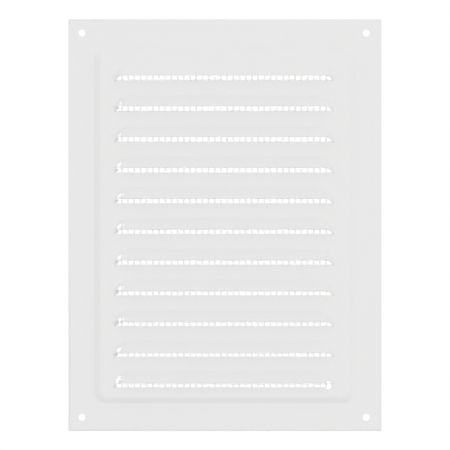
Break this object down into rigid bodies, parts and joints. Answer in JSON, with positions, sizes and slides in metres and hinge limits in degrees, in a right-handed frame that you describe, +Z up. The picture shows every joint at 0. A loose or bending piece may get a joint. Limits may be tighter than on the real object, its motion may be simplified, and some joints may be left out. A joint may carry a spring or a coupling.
{
  "type": "ventilation grille",
  "caption": "Upright rectangular wall grille: a pressed sheet with hood louvres, folded edges, corner screw holes and an insect net behind.",
  "frame": {"origin": "middle of the four screw holes, in the front face of the flat margin", "axes": "+Z up, +X to the right as seen from the room, -Y towards the room; the wall lies at y = +5 mm"},
  "size_m": [0.152, 0.0102, 0.2],
  "materials": {
    "powder_coat": "smooth white powder coat, semi-gloss",
    "net_plastic": "white strands, matte",
    "glue": "milky hot-melt glue"
  },
  "bodies": {
    "root": {"face_plate": "powder_coat", "insect_net": "net_plastic", "glue_dabs": "glue"}
  },
  "joints": []
}
